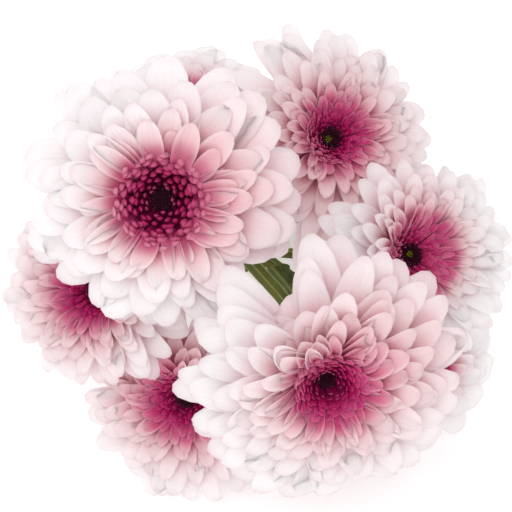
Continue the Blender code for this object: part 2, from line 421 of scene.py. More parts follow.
def chance(sizes, draw):
    """A number from -1 to 1 that is the same over one whole blade, and different for each draw."""
    tree = sizes["Seed"].tree
    inputs = {"Min": -1.0, "Max": 1.0, "ID": read(tree, "number"), "Seed": sizes["Seed"] + draw}
    return step(tree, "FunctionNodeRandomValue", inputs, data_type="FLOAT")


# %% [markdown]
# ## The spiral of ray florets
#
# What looks like a petal is a whole flower: a ray floret. A bloom packs up to three hundred of them on a
# spiral, each a golden angle on from the last, as a pine cone packs its scales. They could be set in
# rings, but rings show. The youngest, round the eye, are short and dark. The oldest, at the rim, are long
# and pale. One tree makes them all: `place` runs from 0 at the eye through 1 at the edge of the heart to
# 2 at the rim, and graphs of `place` give every size.

# %% Where a floret stands on the spiral
GOLDEN_ANGLE = math.pi * (3 - math.sqrt(5))
ANGLE_JITTER = 0.12
WAYS = range(0, 360, 45)
WAY_STEP = math.radians(45)


def spiral_place(sizes):
    """The floret's place from eye to rim, how far it is past the heart, and its angle round the bloom."""
    number = read(sizes["Florets"].tree, "number")
    share = sizes["Heart share"]
    age = (number + 0.5) / sizes["Florets"]
    beyond = clamped((age - share) / (1 - share))
    place = clamped(age / share) + beyond
    angle = number * GOLDEN_ANGLE + sizes["Turn"] + chance(sizes, 1) * ANGLE_JITTER
    return place, beyond, angle


def towards(angle, way):
    """1 where the angle points this way, 0 where it points the other way."""
    return cos(angle - way) * 0.5 + 0.5


def upright_side(sizes, angle):
    """1 on the side of the bloom where florets stand up, soon 0 away from it."""
    return towards(angle, sizes["Upright side"]) ** 3


def apart(angle, way):
    """The angle between the two ways, from 0 to a half turn."""
    return arccos(cos(angle - way))


print("each floret is", round(math.degrees(GOLDEN_ANGLE), 1), "degrees on from the last")

# %% [markdown]
# A real bloom isn't round. Its longest florets are given as eight reaches, an eighth of a turn apart, and
# those between are read from their neighbours. Where a stalk comes up between two blooms, the florets are
# shorter, which leaves a gap.

# %% How far a floret reaches
EYE_RADIUS = 2.9 * MM
HEART_SPREAD = 0.72
HEART_JITTER = 0.25 * MM
GAP_EDGE = 0.55
RAISED_CLEAR = 0.65
RAGGED_RIM = 0.04


def heart_radius(sizes, angle):
    """The heart is lopsided: it is wider on the side that the bloom shows to the sky."""
    return sizes["Heart radius"] * (1 - cos(angle - sizes["Upright side"]) * sizes["Lopsided"])


def rim_radius(sizes, angle):
    """The longest florets' reach, read between the eight given ones, with a gap for a stalk."""
    reach = 0
    for way in WAYS:
        reach = clamped(1 - apart(angle, math.radians(way)) / WAY_STEP) * sizes[f"Reach {way}"] + reach
    in_gap = smooth(apart(angle, sizes["Gap side"]), sizes["Gap half"], sizes["Gap half"] * GAP_EDGE)
    return reach * (1 - in_gap * sizes["Gap"])


def tip_distance(sizes, place, beyond, angle, heart):
    """How far the floret's tip lies from the bloom's axis."""
    within = (heart - EYE_RADIUS) * clamped(place) ** HEART_SPREAD + EYE_RADIUS
    within = within + chance(sizes, 10) * HEART_JITTER
    jump = above(beyond, 0.0) * sizes["Jump"]
    spread = graph(beyond, (0, 0), (0.3, 0.34), (0.6, 0.69), (0.82, 0.94), (1, 1))
    rim = (rim_radius(sizes, angle) - heart) * between(spread, jump, 1.0)
    clear = smooth(beyond, 0.0, 0.06) * smooth(beyond, 0.6, 0.1) * upright_side(sizes, angle)
    ragged = 1 - (chance(sizes, 2) + 1) * RAGGED_RIM * beyond
    return (within + rim + clear * sizes["Raise"] * RAISED_CLEAR) * ragged


# %% [markdown]
# A floret's midline is a curve in the upright plane through the bloom's axis. Three points bend it: the
# root on the receptacle, a shoulder that it leans over, and the tip. In a tight heart the florets are
# clubs: their shoulder is outside their tip, so they curl inwards. In an open heart they are rays that
# lie outwards. On the bloom's upright side the florets stand up like spoons.

# %% Midline of a floret
USUAL_RADIUS = 35 * MM
SHOULDER_LIFT = 0.3


def spoon_share(sizes, place, angle):
    """1 for a floret that stands up like a spoon, 0 for one that lies back."""
    standing = graph(place, (0, 0), (1.0, 0.0), (1.1, 0.8), (1.3, 1), (1.6, 0.6), (2, 0.05))
    return standing * upright_side(sizes, angle)


def shoulder_and_tip(sizes, place, angle, root_r, tip):
    """The distance of the shoulder from the axis, and the heights of the shoulder and the tip."""
    openness = sizes["Openness"] * (1 - upright_side(sizes, angle) * 0.8)
    club_lean = graph(place, (0, 1.6), (0.97, 1.62), (1.05, 0.72), (1.3, 0.48), (2, 0.45))
    ray_lean = graph(place, (0, 0.95), (0.5, 0.72), (1.1, 0.50), (2, 0.45))
    shoulder_r = root_r + (tip - root_r) * between(openness, club_lean, ray_lean)
    club_z = graph_mm(place, (0, 7.5), (0.97, 6.8), (1.05, 12.6), (1.2, 13.4), (2, 9.0))
    ray_z = graph_mm(place, (0, 8.6), (0.5, 10.0), (1, 11.6), (1.3, 13.2), (2, 9.0))
    club_tip = graph_mm(place, (0, 9.0), (0.3, 10.8), (0.97, 12.6), (1.2, 14.0), (1.5, 12.0), (1.75, 8.2),
                        (2, 2.4))
    ray_tip = graph_mm(place, (0, 9.2), (0.5, 10.2), (1, 11.8), (1.2, 12.8), (1.5, 11.6), (1.75, 8.0),
                       (2, 2.4))
    scale = sizes["Bloom radius"] / USUAL_RADIUS
    lift = spoon_share(sizes, place, angle) * sizes["Raise"]
    shoulder_z = between(openness, club_z, ray_z) * scale + (shoulder_r - EYE_RADIUS) * sizes["Cup"]
    tip_z = between(openness, club_tip, ray_tip) * scale + (tip - EYE_RADIUS) * sizes["Cup"]
    return shoulder_r, shoulder_z + lift * SHOULDER_LIFT, tip_z + lift


def midline(sizes, place, angle, tip):
    """The place and slope of the midline at this share along it, in the plane through the axis."""
    along = read(place.tree, "along")
    left = 1 - along
    root_r = graph_mm(place, (0, 1.9), (1, 5.2), (2, 6.9))
    root_z = graph_mm(place, (0, 5.2), (1, 3.6), (2, 1.0))
    shoulder_r, shoulder_z, tip_z = shoulder_and_tip(sizes, place, angle, root_r, tip)
    r = left * left * root_r + left * along * 2 * shoulder_r + along * along * tip
    z = left * left * root_z + left * along * 2 * shoulder_z + along * along * tip_z
    slope_r = left * (shoulder_r - root_r) + along * (tip - shoulder_r)
    slope_z = left * (shoulder_z - root_z) + along * (tip_z - shoulder_z)
    length = sqrt(slope_r * slope_r + slope_z * slope_z)
    return r, z, slope_r / length, slope_z / length


# %% [markdown]
# Across its midline a floret is a trough: part of a circle, deep in the short florets and shallow in the
# long ones. Its width grows from a narrow claw to a rounded tip. Each floret also twists a little, as no
# two on a real bloom are alike.

# %% Cross-section of a floret
FULL_RAISE = 6 * MM
WIDTH_RADIUS = 39 * MM
CLAW = 0.40
TIP_CUT = 0.985
MOST_ARC = 1.5
TWIST = 0.22
ROLL = 0.09


def outline(along, claw, tip_start):
    """The blade's width at each point along it, as a share of its widest."""
    widening = smooth(along, 0.0, tip_start) * (1 - claw) + claw
    rounding = clamped((along - tip_start) / (1 - tip_start)) * TIP_CUT
    return widening * (1 - rounding ** 2.5) ** 0.5


def half_width(sizes, place, along, spoon):
    """Half the floret's width here, and its widest."""
    scale = between(clamped(place - 0.8), 1, sizes["Width"]) * sizes["Bloom radius"] / WIDTH_RADIUS
    widest = graph_mm(place, (0, 1.2), (0.5, 2.2), (0.97, 3.0), (1.08, 5.2), (1.3, 6.8), (1.65, 9.2),
                      (2, 11.2))
    club = clamped(2 - place) * (1 - sizes["Openness"])
    widest = widest * scale * (1 + chance(sizes, 3) * 0.14) * (1 + spoon * 0.12) * (1 + club * 0.30)
    tip_start = graph(place, (0, 0.70), (1.0, 0.66), (1.2, 0.58), (2, 0.60))
    return widest * 0.5 * outline(along, CLAW, tip_start), widest


def cross_section(sizes, place, angle):
    """The offsets of each point to the side of the midline, and above it."""
    tree = place.tree
    along = read(tree, "along")
    across = read(tree, "across")
    spoon = spoon_share(sizes, place, angle) * sizes["Raise"] / FULL_RAISE
    half, widest = half_width(sizes, place, along, spoon)
    arc = graph(place, (0, 0.5), (0.95, 0.7), (1.12, 1.05), (1.35, 0.8), (1.6, 0.55), (2, 0.34))
    arc = least(arc * (1.25 - along * 0.55 + spoon * 0.45) * (1 + chance(sizes, 4) * 0.3), MOST_ARC)
    side = half / arc * sin(across * arc)
    rise = half / arc * (1 - cos(across * arc))
    thick = graph(place, (0, 0.36), (0.9, 0.28), (1.12, 0.06), (1.4, 0.035), (2, 0.022))
    thick = thick * between(clamped(2 - place), 1, between(sizes["Openness"], 1.1, 0.5))
    rise = rise + read(tree, "swell") * thick * widest
    twist = (along * chance(sizes, 5) * TWIST + chance(sizes, 6) * ROLL) * (1 - clamped(spoon) * 0.6)
    return side * cos(twist) - rise * sin(twist), side * sin(twist) + rise * cos(twist)


# %% [markdown]
# The tree puts the blanks, the spiral, the midline and the cross-section together, and lets each floret
# sway to one side and nod a little. It stores `heart`, how far each point is from the axis: 1 at the edge
# of the heart, and one more for each length over which the pink fades. The finish reads it.

# %% The tree of ray florets
FLORET_SIZES = {
    "First": 0, "Last": 60, "Florets": 300, "Turn": 0.0,
    "Heart share": 0.42, "Heart radius": 11 * MM, "Bloom radius": 33 * MM, "Openness": 1.0, "Width": 1.0,
    "Fade": 9 * MM, "Depth": 1.0, "Pink and shade side": 0.0, "Pink": 0.0,
    "Cup": 0.1, "Upright side": 0.0, "Raise": 0.0, "Lopsided": 0.0,
    **{f"Reach {way}": 33 * MM for way in WAYS}, "Jump": 0.0,
    "Gap side": 0.0, "Gap half": 0.2, "Gap": 0.0,
    "Columns": 6, "Rows": 7, "Seed": 1, "Finish": None,
}
SWAY = 0.12
NOD = 0.04


def floret_tree():
    tree, sizes = new_tree("ray_florets", FLORET_SIZES)
    blades = rows_of_blanks(sizes)
    along = read(tree, "along")
    place, beyond, angle = spiral_place(sizes)
    heart = heart_radius(sizes, angle)
    tip = tip_distance(sizes, place, beyond, angle, heart)
    r, z, slope_r, slope_z = midline(sizes, place, angle, tip)
    side, rise = cross_section(sizes, place, angle)
    side = side + along * along * chance(sizes, 7) * tip * SWAY
    rise = rise + along * along * chance(sizes, 8) * tip * NOD
    r = r - slope_z * rise
    z = z + slope_r * rise
    reach = sqrt(r * r + side * side)
    # the pink fades over a longer way on one side: partly the bloom's own blush, partly painted shade
    fade = sizes["Fade"] * (1 + towards(angle, sizes["Pink and shade side"]) ** 4 * sizes["Pink"])
    inside = least(reach / heart, 1.0) ** sizes["Depth"]
    blades = stored(blades, "heart", inside + most(reach - heart, 0.0) / fade)
    blades = stored(blades, "tone", chance(sizes, 9))
    blades = moved(blades, r * cos(angle) + side * sin(angle), r * sin(angle) - side * cos(angle), z)
    return end_tree(blades, sizes["Finish"], crisp=above(place, 1.0))


FLORETS = floret_tree()
print("the tree of ray florets has", len(FLORETS.nodes), "nodes")

# %% [markdown]
# ## Petal finishes
#
# A petal's colour follows its distance from the eye: near-black maroon, then magenta, then pink that
# fades to white. Fine veins run lengthwise, the tips have a thin pink line, and the under side is paler.
# It could be painted on each whorl apart, but all three share it, so it is one group, placed in each
# material with its own values. These helpers paint coats of colour one over the other.

# %% Colours, and groups for materials
def srgb(red, green, blue):
    """A colour given by its 0 to 255 screen values, as the linear colour that a shader takes."""
    def linear(value):
        share = value / 255
        return share / 12.92 if share <= 0.04045 else ((share + 0.055) / 1.055) ** 2.4
    return (linear(red), linear(green), linear(blue), 1.0)


def new_effect(name, inputs):
    """A shader group with these named inputs."""
    tree = bpy.data.node_groups.new(name, "ShaderNodeTree")
    return tree, add_inputs(tree, inputs)


def end_effect(tree, outputs):
    """Gives a shader group its named outputs."""
    for label, value in outputs.items():
        kind = "NodeSocketColor" if value.socket.type == "RGBA" else "NodeSocketFloat"
        tree.interface.new_socket(label, in_out="OUTPUT", socket_type=kind)
    fill(tree.nodes.new("NodeGroupOutput"), outputs)
    return tree


def blend(amount, first, second):
    """The first colour where the amount is 0, and the second where it is 1."""
    tree = next(value.tree for value in (amount, first, second) if isinstance(value, Field))
    return step(tree, "ShaderNodeMix", {"Factor": amount, "A": first, "B": second}, data_type="RGBA")


def painted(colour, *coats):
    """A colour with each (amount, colour) painted over it in turn."""
    for amount, coat in coats:
        colour = blend(amount, colour, coat)
    return colour


def ramp(x, *stops):
    """A colour for each value of x between 0 and 1, from (x, colour) stops."""
    band = step(x.tree, "ShaderNodeValToRGB", {0: x})
    elements = band.socket.node.color_ramp.elements
    elements[0].position, elements[0].color = stops[0]
    elements[1].position, elements[1].color = stops[-1]
    for position, colour in stops[1:-1]:
        elements.new(position).color = colour
    return band


# %% [markdown]
# The blush is a ramp over `heart`, which the florets stored. Over it come the magenta hollow of a long
# floret, its veins, the paler tip and pale speck of a club with a painted highlight on them, the painted
# shade at the foot between clubs, the line round the rim, and the pale under side.

# %% Blush of a petal
BLUSH = {
    0.0: srgb(36, 0, 16), 0.30: srgb(118, 5, 57), 0.6: srgb(164, 15, 85), 0.85: srgb(188, 58, 113),
    1.05: srgb(204, 106, 138), 1.3: srgb(220, 160, 172), 1.7: srgb(232, 196, 200),
    2.3: srgb(238, 217, 219), 3.1: srgb(240, 228, 230), 4.0: srgb(240, 235, 236),
}
BLUSH_SPAN = max(BLUSH)
HOLLOW = srgb(176, 52, 102)
ROOT = srgb(214, 140, 158)
VEIN = srgb(190, 90, 130)
# club tips: a paler colour with a painted highlight; club feet: painted shade between the clubs
CLUB_TIP_AND_HIGHLIGHT = srgb(196, 70, 126)
CLUB_SPECK_AND_HIGHLIGHT = srgb(212, 110, 156)
CLUB_FOOT_SHADE = srgb(74, 5, 42)
RIM = srgb(214, 120, 150)
UNDER_SIDE = srgb(246, 226, 232)


def blush_effect():
    """Colour by distance from the eye: veins and an under side of their own, paler tips with a painted
    highlight, and painted shade at the feet of clubs.
    """
    inputs = {"Heart": 1.0, "Along": 0.5, "Across": 0.0, "Upper": 1.0, "Tone": 0.0,
              "Vein": 0.0, "Tip colour and highlight": 0.0, "Rim line": 0.3, "Base shade": 0.0}
    tree, given = new_effect("petal_blush", inputs)
    heart, along, vein = given["Heart"], given["Along"], given["Vein"]
    reach = clamped((heart + given["Tone"] * 0.12) / BLUSH_SPAN)
    rooted = smooth(along, 0.80, 0.35) * smooth(heart, 0.9, 1.2)
    # a paler tip with a painted highlight over it
    tip_colour_and_highlight = smooth(along, 0.62, 0.96) * given["Tip colour and highlight"] * smooth(heart, 0.25, 0.95)
    near_rim = most(absolute(given["Across"]), along)
    colour = painted(
        ramp(reach, *((place / BLUSH_SPAN, shade) for place, shade in BLUSH.items())),
        (rooted * smooth(heart, 2.1, 1.2) * 0.72, HOLLOW),
        (rooted * 0.25, ROOT),
    )
    colour = painted(
        colour,
        (vein * 0.09, blend(0.35, colour, VEIN)),
        (tip_colour_and_highlight, CLUB_TIP_AND_HIGHLIGHT),
        # a painted highlight on the very tip, then painted shade at the foot between clubs
        (smooth(along, 0.84, 1.0) * given["Tip colour and highlight"] * smooth(heart, 0.55, 0.2), CLUB_SPECK_AND_HIGHLIGHT),
        (smooth(along, 0.82, 0.55) * given["Base shade"], CLUB_FOOT_SHADE),
        (smooth(near_rim, 0.90, 1.0) * given["Rim line"], RIM),
    )
    paler = blend(0.5, colour, UNDER_SIDE)
    colour = blend((1 - given["Upper"]) * smooth(heart, 0.5, 1.3) * 0.6, colour, paler)
    return end_effect(tree, {"Colour": colour, "Roughness": 0.58 - tip_colour_and_highlight * 0.10 + vein * 0.12})


BLUSH_EFFECT = blush_effect()
print("the blush has", len(BLUSH), "colours from the eye to the rim")

# %% [markdown]
# The veins of a petal are faint grooves. Waves across the petal make them, and stretched noise keeps them
# from looking ruled. The group gives a height for the bump and a mask for the colour, so that the two
# agree.

# %% Veins of a petal
NOISE_STRETCH = 1.6
TONE_SHIFT = 40


def veins_effect():
    """Fine lengthwise veins: a height for the bump, and a mask for the colour."""
    tree, given = new_effect("lengthwise_veins", {"Across": 0.0, "Along": 0.5, "Tone": 0.0, "Veins": 7.0})
    across = given["Across"] * given["Veins"]
    place = vector(tree, across, given["Along"] * NOISE_STRETCH, given["Tone"] * TONE_SHIFT)
    grain = step(tree, "ShaderNodeTexNoise", {"Vector": place, "Scale": 1.3, "Detail": 3.0})
    waves = cos(across * math.pi + grain * 3.0) * 0.5 + 0.5
    vein = waves ** 3 * (1 - given["Along"] * 0.35)
    return end_effect(tree, {"Height": vein * -1.0 + grain * 0.6, "Vein": vein})


VEINS_EFFECT = veins_effect()

# %% [markdown]
# Light goes into a petal and comes out pink, so each petal material has some subsurface. Each petal also
# glows faintly in its own colour: painted light that lifts the shade between petals. The Principled shader
# stays in the material, where its constant numbers are set on its own sockets.

# %% Petal materials
# painted light: a faint glow in the petal's own colour that lifts the shade between petals
PETAL_SHADE_LIFTING_GLOW = 0.07
VEIN_DEPTH = 0.10 * MM
VEIN_STRENGTH = 0.30


def new_material(name, gloss):
    material = bpy.data.materials.new(name)
    material.use_nodes = True
    shader = material.node_tree.nodes["Principled BSDF"]
    fill(shader, {"Metallic": 0.0, "Specular IOR Level": gloss})
    return material, material.node_tree, shader


def attribute(tree, name):
    return step(tree, "ShaderNodeAttribute", attribute_name=name).other("Fac")


def bumped(height, depth, strength):
    inputs = {"Height": height, "Distance": depth, "Strength": strength}
    return step(height.tree, "ShaderNodeBump", inputs)


def petal_material(name, gloss, veins, looks):
    """A petal with this gloss, this many veins, and these inputs of the blush."""
    material, tree, shader = new_material(name, gloss)
    labels = ("Heart", "Along", "Across", "Upper", "Tone")
    seen = {label: attribute(tree, label.lower()) for label in labels}
    lines = {"Veins": veins, **{label: seen[label] for label in ("Across", "Along", "Tone")}}
    height = step(tree, "ShaderNodeGroup", lines, node_tree=VEINS_EFFECT)
    inputs = {**seen, **looks, "Vein": height.other("Vein")}
    colour = step(tree, "ShaderNodeGroup", inputs, node_tree=BLUSH_EFFECT)
    fill(shader, {
        "Base Color": colour, "Roughness": colour.other("Roughness"),
        "Normal": bumped(height, VEIN_DEPTH, VEIN_STRENGTH),
        "Emission Color": colour, "Emission Strength": PETAL_SHADE_LIFTING_GLOW,
        "Subsurface Weight": 0.7, "Subsurface Radius": (1.0, 0.88, 0.92), "Subsurface Scale": 1.2 * MM,
    })
    return material


OUTER_PETAL = petal_material("outer_petal", 0.15, 6.0, {"Rim line": 0.14})
MIDDLE_PETAL = petal_material("middle_petal", 0.10, 5.0, {"Rim line": 0.22})
INNER_PETAL = petal_material("inner_petal", 0.04, 3.0, {"Rim line": 0.10, "Tip colour and highlight": 0.45})
CLUB_PETAL = petal_material("club_petal", 0.08, 3.0, {
    "Rim line": 0.10, "Tip colour and highlight": 0.35, "Base shade": 0.75,
})
print(len(bpy.data.materials), "materials so far")

# %% [markdown]
# ## Eight blooms of ray florets
#
# Each bloom has its own heart, number of florets and lie. The front bloom is wide open, with a broad
# heart of clubs. The ones at the sides lean outwards, so their florets lie down on the outer side and
# stand like spoons on the inner one. One bloom could be made and copied, but then the eye soon finds the
# copies. So each has a row of its own in a table.

# %% The blooms
@dataclass
class Bloom:
    """One flower head. Angles are in degrees, counter-clockwise from the right, seen face on."""

    name: str
    cup: float  # rise of its florets towards its face
    heart_mm: float
    florets: int
    heart_share: float
    openness: float  # 0 for a heart of clubs, 1 for a heart of rays
    width: float  # of its long florets, for its size
    fade_mm: float  # over which the pink fades to white beyond the heart
    reaches_mm: tuple  # of its longest florets, to the right and then every 45 degrees
    turn: float = 0.0  # of the whole spiral
    upright_side: float = 0.0
    raise_mm: float = 0.0
    lopsided: float = 0.0
    gap_side: float = 0.0
    gap_half: float = 10.0
    gap: float = 0.0
    # the pink side is partly the bloom's own blush and partly painted shade, the pink of petals that lie
    # in shade
    pink_and_shade_side: float = 0.0  # where the pink reaches farther
    pink: float = 0.0
    depth: float = 1.0  # over 1 for a darker heart
    jump: float = 0.0  # how much of the way to the rim the first petals past the heart reach
    green: bool = False  # yellow-green shows in its eye
    eye_mm: float = 3.5


BLOOMS = (
    Bloom("bloom_1", 2, 12.9, 228, 0.57, 0.0, 1.18, 5.0, (43.5, 43.5, 43, 42, 43.5, 40.5, 39.5, 44.5),
          6, 120, 2.5, 0.03, 326, 15, 0.17, pink_and_shade_side=15, pink=2.4, depth=1.05, jump=0.20),
    Bloom("bloom_2", 7, 10.2, 270, 0.48, 1.0, 0.92, 8.5, (33, 34.5, 35, 38.5, 33, 41, 46, 36),
          0, 212, 4.5, 0.08, pink_and_shade_side=230, pink=1.2, depth=0.80, green=True),
    Bloom("bloom_3", 14, 11.8, 265, 0.50, 1.0, 0.95, 3.6, (34.5, 33, 29, 34, 38, 40, 34, 35),
          0, 175, 4.2, 0.05, pink_and_shade_side=110, pink=1.0, depth=0.36, green=True),
    Bloom("bloom_4", -2, 11.3, 285, 0.48, 0.8, 1.04, 8, (43, 44, 46.5, 46.5, 44, 45, 41.5, 43.5),
          10, 138, 6, 0.12, 118, 14, 0.38, pink_and_shade_side=40, pink=1.6, jump=0.04, eye_mm=2.9),
    Bloom("bloom_5", 6, 11, 265, 0.48, 0.9, 0.95, 9, (34, 38, 38, 32, 34, 39, 40, 36),
          0, 45, 4, 0.08, pink_and_shade_side=115, pink=1.6),
    Bloom("bloom_6", 9, 11, 260, 0.48, 1.0, 0.95, 8, (33, 30, 32, 33, 32.5, 32, 30, 34), 0, 20, 4, 0.10),
    Bloom("bloom_7", 6, 9, 150, 0.60, 1.0, 1.45, 4, (29, 28, 28, 29, 29, 30, 30, 30)),
    Bloom("bloom_8", 4, 9, 132, 0.60, 1.0, 1.50, 3, (30, 27.5, 29, 28, 29, 30, 32, 31)),
)
print(sum(bloom.florets for bloom in BLOOMS), "ray florets in", len(BLOOMS), "blooms")


def bloom_sizes(bloom):
    """The inputs of the floret tree that are the same for all the whorls of a bloom."""
    shares = {
        "Florets": bloom.florets, "Heart share": bloom.heart_share, "Openness": bloom.openness,
        "Width": bloom.width, "Depth": bloom.depth, "Jump": bloom.jump, "Pink": bloom.pink,
        "Lopsided": bloom.lopsided, "Gap": bloom.gap, "Cup": math.tan(math.radians(bloom.cup)),
    }
    lengths = {"Heart radius": bloom.heart_mm, "Fade": bloom.fade_mm, "Raise": bloom.raise_mm}
    lengths |= {f"Reach {way}": reach for way, reach in zip(WAYS, bloom.reaches_mm)}
    angles = {"Turn": bloom.turn, "Upright side": bloom.upright_side, "Pink and shade side": bloom.pink_and_shade_side,
              "Gap side": bloom.gap_side, "Gap half": bloom.gap_half}
    sizes = shares | {label: length * MM for label, length in lengths.items()}
    sizes |= {label: math.radians(angle) for label, angle in angles.items()}
    return sizes | {"Bloom radius": measure_bloom(bloom.name)[2]}


# %% [markdown]
# A bloom's florets are one spiral, but those near the eye, in the middle and at the rim differ in finish.
# So the spiral is cut by number into three whorls. Petals that would go through the table bend up and lie
# on it, as soft petals do.

# %% Place, and finish, a piece
TABLE_EASE = 4 * MM


def rest_on_table(mesh):
    """Bends whatever would pass through the table so that it lies on it."""
    for vertex in mesh.vertices:
        if vertex.co.z < TABLE_EASE:
            vertex.co.z = TABLE_EASE * math.exp((vertex.co.z - TABLE_EASE) / TABLE_EASE)


def put_in_place(piece, matrix):
    piece.data.transform(matrix)
    rest_on_table(piece.data)
    piece.data.update()


def finish_piece(piece, node):
    """Every piece of the spray rides on its one body and stands for its own solid."""
    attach(piece, "root")
    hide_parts(node)
    print(piece.name, len(piece.data.polygons), "faces")


# %% [markdown]
# The inner florets are small, so they take fewer faces than the outer ones. A heart of clubs has a finish
# of its own, with painted shade on its feet under tips made brighter with a painted highlight.

# %% Grow the ray florets
SEED_STEP = 20
MIDDLE_END = 1.35
WHORLS = (  # name, places at which it starts and ends, columns and rows of faces, finish
    ("inner_florets", 0.0, 1.0, 4, 6, INNER_PETAL),
    ("middle_florets", 1.0, MIDDLE_END, 5, 7, MIDDLE_PETAL),
    ("outer_florets", MIDDLE_END, 2.0, 6, 7, OUTER_PETAL),
)


def floret_number(bloom, place):
    """The number on the spiral of the floret at this place from eye to rim."""
    share = bloom.heart_share
    age = place * share if place <= 1 else share + (place - 1) * (1 - share)
    return round(age * bloom.florets)


def grow_whorl(bloom, seed, whorl, start, end, columns, rows, finish):
    if finish is INNER_PETAL and bloom.openness == 0:
        finish = CLUB_PETAL
    sizes = bloom_sizes(bloom) | {
        "First": floret_number(bloom, start), "Last": floret_number(bloom, end),
        "Columns": columns, "Rows": rows, "Seed": seed * SEED_STEP, "Finish": finish,
    }
    piece = grow(f"{bloom.name}_{whorl}_open", FLORETS, sizes)
    put_in_place(piece, bloom_matrix(bloom.name))
    finish_piece(piece, f"{bloom.name}_{whorl}")


for seed, bloom in enumerate(BLOOMS):
    for whorl in WHORLS:
        grow_whorl(bloom, seed, *whorl)

# %% [markdown]
# ## The eye of a bloom
#
# The eye is a button of the youngest florets, still shut: tiny buds, packed on a dome and nearly black. A
# bumpy dome could pass from afar, but real buds catch the light one by one. Each is a small stretched
# ball that points out of the dome, set on the same spiral as the florets around it. Where a bloom is a
# day further on, a spot of yellow-green shows to one side.

# %% The tree of the eye
EYE_SIZES = {
    "Radius": 3.5 * MM, "Base": EYE_BASE, "Height": 3.6 * MM, "Spot side": 0.0,
    "Buds": 140, "Bud size": 0.30 * MM, "Seed": 1, "Finish": None,
}
BUD_SEGMENTS, BUD_RINGS = 6, 5
DOME_SEGMENTS, DOME_RINGS = 24, 12
BUD_LENGTH = 1.9
DOME_ROUND = 0.85
DOME_WIDTH, DOME_LIFT, DOME_HALF_HEIGHT = 0.95, 0.45, 0.5
SPOT_SHIFT = 1.5 * MM
SPOT_RADIUS = 0.8 * MM
RECEPTACLE_RADIUS = 6.9 * MM


def ball(tree, segments, rings):
    return step(tree, "GeometryNodeMeshUVSphere", {"Segments": segments, "Rings": rings, "Radius": 1.0})


def stretched(shape, lift, *scale):
    """A shape stretched along the three axes, then lifted."""
    inputs = {"Translation": vector(shape.tree, z=lift), "Scale": vector(shape.tree, *scale)}
    return change(shape, "GeometryNodeTransform", inputs)


def bud_points(tree, sizes, middle, angle, top):
    """A point on the dome for each bud, which knows if it is in the green spot."""
    out = middle * sizes["Radius"]
    x, y = polar(out, angle)
    off_x = x - cos(sizes["Spot side"]) * SPOT_SHIFT
    off_y = y - sin(sizes["Spot side"]) * SPOT_SHIFT
    off = sqrt(off_x * off_x + off_y * off_y)
    spots = step(tree, "GeometryNodePoints", {"Count": sizes["Buds"]})
    spots = stored(spots, "number", step(tree, "GeometryNodeInputIndex"))
    spots = stored(spots, "middle", middle)
    spots = stored(spots, "spot", smooth(off, SPOT_RADIUS * 1.25, SPOT_RADIUS))
    return moved(spots, x, y, sizes["Base"] + top * sizes["Height"])


def eye_tree():
    tree, sizes = new_tree("eye_buds", EYE_SIZES)
    middle = sqrt((read(tree, "number") + 0.5) / sizes["Buds"])
    angle = read(tree, "number") * GOLDEN_ANGLE
    top = sqrt(1 - middle * middle * DOME_ROUND)
    spots = bud_points(tree, sizes, middle, angle, top)
    aim = vector(tree, *polar(middle, angle), top)
    turn = step(tree, "FunctionNodeAlignRotationToVector", {"Vector": aim}, axis="Z")
    bud = ball(tree, BUD_SEGMENTS, BUD_RINGS)
    bud = stored(bud, "along", place_of(tree)[2] * 0.5 + 0.5)
    size = sizes["Bud size"] * (0.75 + middle * 0.45 + chance(sizes, 1) * 0.18)
    inputs = {"Instance": bud, "Rotation": turn, "Scale": vector(tree, size, size, size * BUD_LENGTH)}
    buds = change(spots, "GeometryNodeInstanceOnPoints", inputs)
    dome = ball(tree, DOME_SEGMENTS, DOME_RINGS)
    width, height = sizes["Radius"] * DOME_WIDTH, sizes["Height"]
    button = stretched(dome, sizes["Base"] + height * DOME_LIFT, width, width, height * DOME_HALF_HEIGHT)
    receptacle = stretched(dome, 0.0, RECEPTACLE_RADIUS, RECEPTACLE_RADIUS, sizes["Base"])
    whole = change(joined(receptacle, button, buds), "GeometryNodeRealizeInstances")
    return end_tree(stored(whole, "tone", chance(sizes, 2)), sizes["Finish"])


EYE_TREE = eye_tree()
print("the tree of the eye has", len(EYE_TREE.nodes), "nodes")

# %% [markdown]
# Buds are maroon and nearly black, with a few pink tips near the rim of the eye. The green spot is a mask
# that the tree stored, so one function makes both finishes.

# %% Eye finish, and the eyes
EYE_SEED = 7


def eye_material(name, green):
    """Maroon buds with a few pink tips, and a spot of yellow-green ones where green is more than 0."""
    material, tree, shader = new_material(name, 0.12)
    along, middle, tone = (attribute(tree, label) for label in ("along", "middle", "tone"))
    specks = smooth(along, 0.85, 1.0) * smooth(middle, 0.5, 0.9) * smooth(tone, 0.1, 0.6)
    leafy = blend(smooth(along, 0.4, 1.0), srgb(54, 58, 6), srgb(116, 126, 14))
    colour = painted(
        ramp(along, (0.3, srgb(16, 1, 8)), (0.85, srgb(52, 6, 28)), (1.0, srgb(74, 14, 44))),
        (specks, srgb(196, 110, 150)),
        (attribute(tree, "spot") * green, leafy),
    )
    fill(shader, {"Base Color": colour, "Roughness": 0.62 - specks * 0.2})
    return material


MAROON_EYE = eye_material("maroon_eye", 0.0)
GREEN_EYE = eye_material("green_middled_eye", 1.0)

for seed, bloom in enumerate(BLOOMS):
    sizes = {
        "Radius": bloom.eye_mm * MM, "Spot side": math.radians(bloom.upright_side),
        "Seed": seed * SEED_STEP + EYE_SEED, "Finish": GREEN_EYE if bloom.green else MAROON_EYE,
    }
    piece = grow(f"{bloom.name}_eye_buds", EYE_TREE, sizes)
    put_in_place(piece, bloom_matrix(bloom.name))
    finish_piece(piece, f"{bloom.name}_eye")

